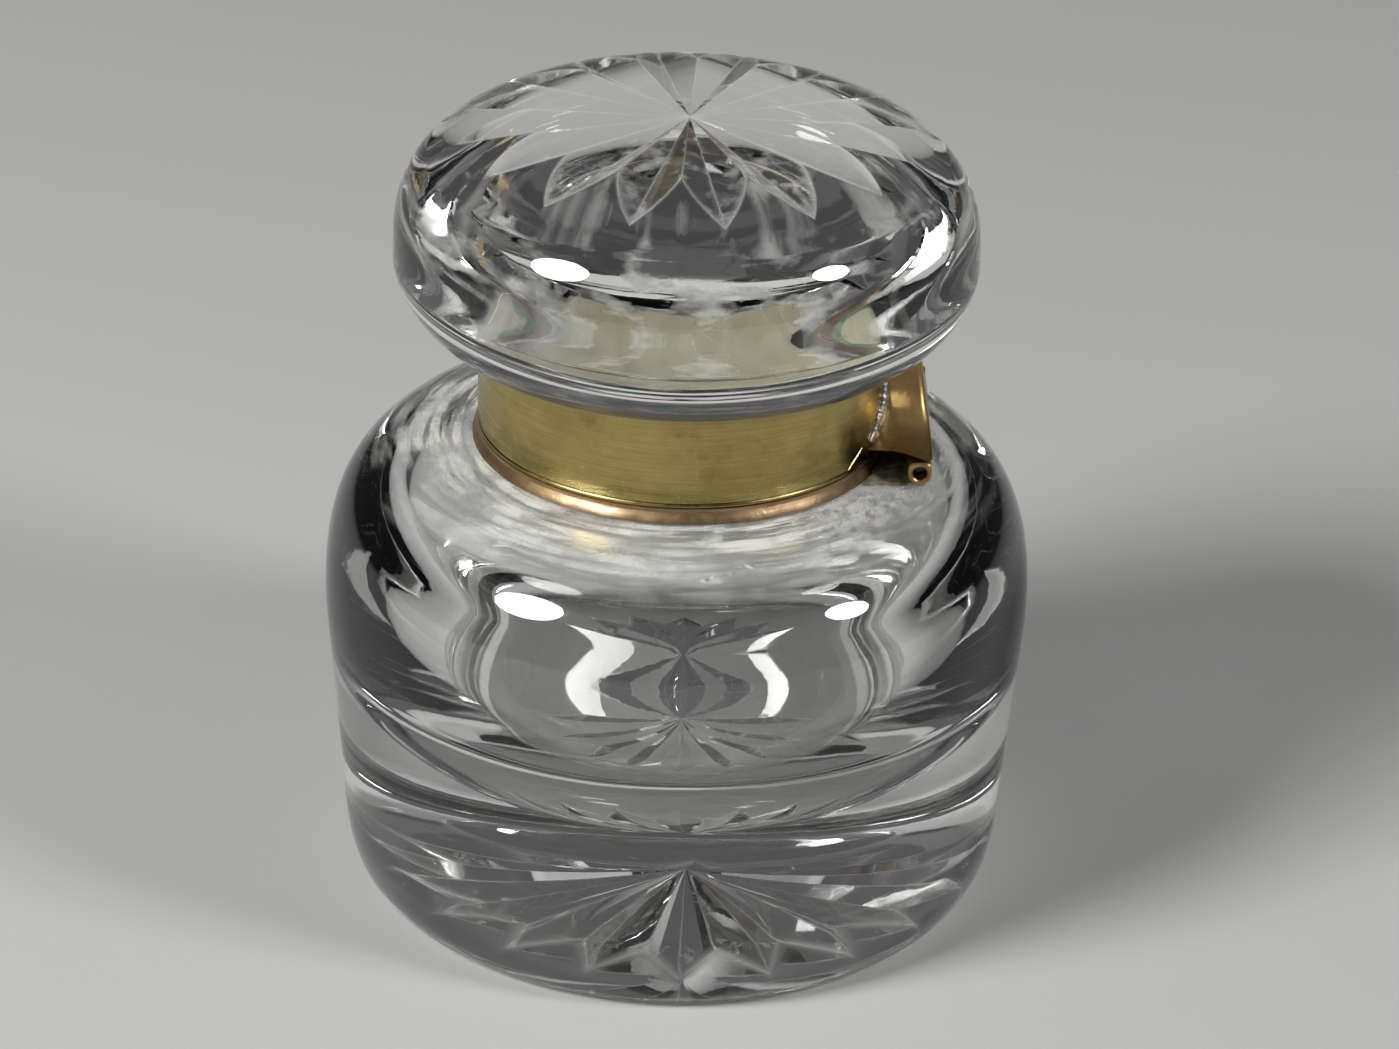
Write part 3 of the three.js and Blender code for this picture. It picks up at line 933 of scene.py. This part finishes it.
brass = metal_look(
    "olive_brass",
    bright=(0.51, 0.41, 0.15),
    dull=(0.37, 0.29, 0.10),
    stain=(0.15, 0.10, 0.05),
    rough=0.2,
    brush=0.8,
    stain_share=0.25,
    pits=0.25,
    extra=collar_colours,
)
copper = metal_look(
    "copper_brass",
    bright=(0.47, 0.30, 0.19),
    dull=(0.40, 0.29, 0.13),
    stain=(0.13, 0.08, 0.05),
    rough=0.28,
    brush=0.5,
    stain_share=0.4,
    pits=0.6,
    extra=band_colours,
)
flange_brass = metal_look(
    "flange_brass",
    bright=(0.40, 0.25, 0.11),
    dull=(0.28, 0.17, 0.07),
    stain=(0.10, 0.06, 0.03),
    rough=0.32,
    brush=0.3,
    stain_share=0.4,
    pits=0.5,
    extra=flange_colours,
)
worn = metal_look(
    "worn_brass",
    bright=(0.54, 0.38, 0.15),
    dull=(0.40, 0.25, 0.10),
    stain=(0.14, 0.08, 0.04),
    rough=0.27,
    brush=0.3,
    stain_share=0.45,
    pits=0.6,
)
crusted = metal_look(
    "crusted_leaf",
    bright=(0.48, 0.26, 0.18),
    dull=(0.30, 0.17, 0.11),
    stain=(0.08, 0.07, 0.05),
    rough=0.45,
    brush=0.1,
    stain_share=0.5,
    pits=1.0,
    extra=leaf_colours,
    metallic=0.35,
)
solder = metal_look(
    "dull_solder",
    bright=(0.44, 0.40, 0.35),
    dull=(0.30, 0.29, 0.28),
    stain=(0.16, 0.12, 0.08),
    rough=0.35,
    brush=0.05,
    stain_share=0.4,
    pits=1.0,
)
steel = metal_look(
    "pin_steel",
    bright=(0.32, 0.29, 0.26),
    dull=(0.20, 0.17, 0.14),
    stain=(0.10, 0.05, 0.03),
    rough=0.4,
    brush=0.2,
    stain_share=0.5,
    pits=0.6,
)
plaster = plaster_look()

fit(glass_body(), glass_look("well_glass", well_film), "well", "glass_body")
fit(glass_lid(), glass_look("dome_glass", lid_film), "lid", "glass_lid")
fit(neck_cement(), plaster, "well", "neck_cement")
fit(lid_cement(), plaster, "lid", "lid_cement")
fit(lower_collar(), copper, "well", "lower_collar")
fit(upper_collar(), brass, "lid", "upper_collar")
fit(lid_flange(), flange_brass, "lid", "lid_flange")
fit(hinge_tail(), worn, "lid", "hinge_tail")
fit(tail_solder("solder_front", -1), solder, "lid", "tail_solder_front")
fit(tail_solder("solder_rear", 1), solder, "lid", "tail_solder_rear")
fit(hinge_leaf(), crusted, "well", "hinge_leaf")
fit(leaf_solder(), solder, "well", "leaf_solder")
fit(hinge_pin(), steel, "well", "hinge_pin")
for node, body, squareness in (
    ("upper_knuckle_front", "lid", 0.9),
    ("lower_knuckle_front", "well", 0.0),
    ("upper_knuckle_middle", "lid", 0.0),
    ("lower_knuckle_rear", "well", 0.0),
    ("upper_knuckle_rear", "lid", 0.0),
):
    fit(knuckle(node, squareness), worn, body, node)


# ---- floor, light and camera -------------------------------------------------------------------------

def stage_floor():
    """A plain pale floor, just under the base."""
    reach = 2.5
    square = [(-reach, -reach, 0), (reach, -reach, 0), (reach, reach, 0), (-reach, reach, 0)]
    mesh = bpy.data.meshes.new("floor")
    mesh.from_pydata(square, [], [(0, 1, 2, 3)])
    floor = bpy.data.objects.new("floor", mesh)
    floor.location.z = -0.0003
    bpy.context.collection.objects.link(floor)
    material = bpy.data.materials.new("floor")
    material.use_nodes = True
    shader = material.node_tree.nodes["Principled BSDF"]
    shader.inputs["Base Color"].default_value = (0.48, 0.48, 0.47, 1)
    shader.inputs["Roughness"].default_value = 0.9
    mesh.materials.append(material)


def lamp(name, azimuth, elevation, diameter, power):
    """A round soft lamp. Azimuth is from straight in front, positive to the right, in degrees."""
    distance = 1.2
    aim = Vector((0, 0, 0.05))
    light = bpy.data.lights.new(name, "AREA")
    light.shape = "DISK"
    light.size = diameter
    light.energy = power
    azimuth, elevation = math.radians(azimuth), math.radians(elevation)
    place = Vector((
        math.sin(azimuth) * math.cos(elevation),
        -math.cos(azimuth) * math.cos(elevation),
        math.sin(elevation),
    )) * distance
    made = bpy.data.objects.new(name, light)
    made.location = place + aim
    made.rotation_euler = (-place).to_track_quat("-Z", "Y").to_euler()
    bpy.context.collection.objects.link(made)


def camera():
    """The camera, at the angle from which the object is seen, a little out of level."""
    lens = bpy.data.cameras.new("camera")
    lens.sensor_width = 36
    lens.lens = 110.17
    lens.clip_start = 0.01
    yaw, pitch, roll = math.radians(0.32), math.radians(27.15), math.radians(1.78)
    ahead = Vector((math.sin(yaw) * math.cos(pitch), math.cos(yaw) * math.cos(pitch), -math.sin(pitch)))
    level = ahead.cross(Vector((0, 0, 1))).normalized()
    upright = level.cross(ahead)
    right = level * math.cos(roll) + upright * math.sin(roll)
    up = upright * math.cos(roll) - level * math.sin(roll)
    made = bpy.data.objects.new("camera", lens)
    turn = Matrix((right, up, -ahead)).transposed().to_4x4()
    made.matrix_world = Matrix.Translation((0, -0.4329, 0.2634)) @ turn
    bpy.context.collection.objects.link(made)
    bpy.context.scene.camera = made


stage_floor()
lamp("lamp_left", azimuth=-56, elevation=38, diameter=0.45, power=16)
lamp("lamp_right", azimuth=65, elevation=36, diameter=0.30, power=7)
camera()

world = bpy.data.worlds.new("studio")
world.use_nodes = True
world.node_tree.nodes["Background"].inputs["Color"].default_value = (0.06, 0.06, 0.062, 1)
scene = bpy.context.scene
scene.world = world
scene.view_settings.view_transform = "Standard"
scene.cycles.use_denoising = True
scene.cycles.max_bounces = 24
scene.cycles.transmission_bounces = 24
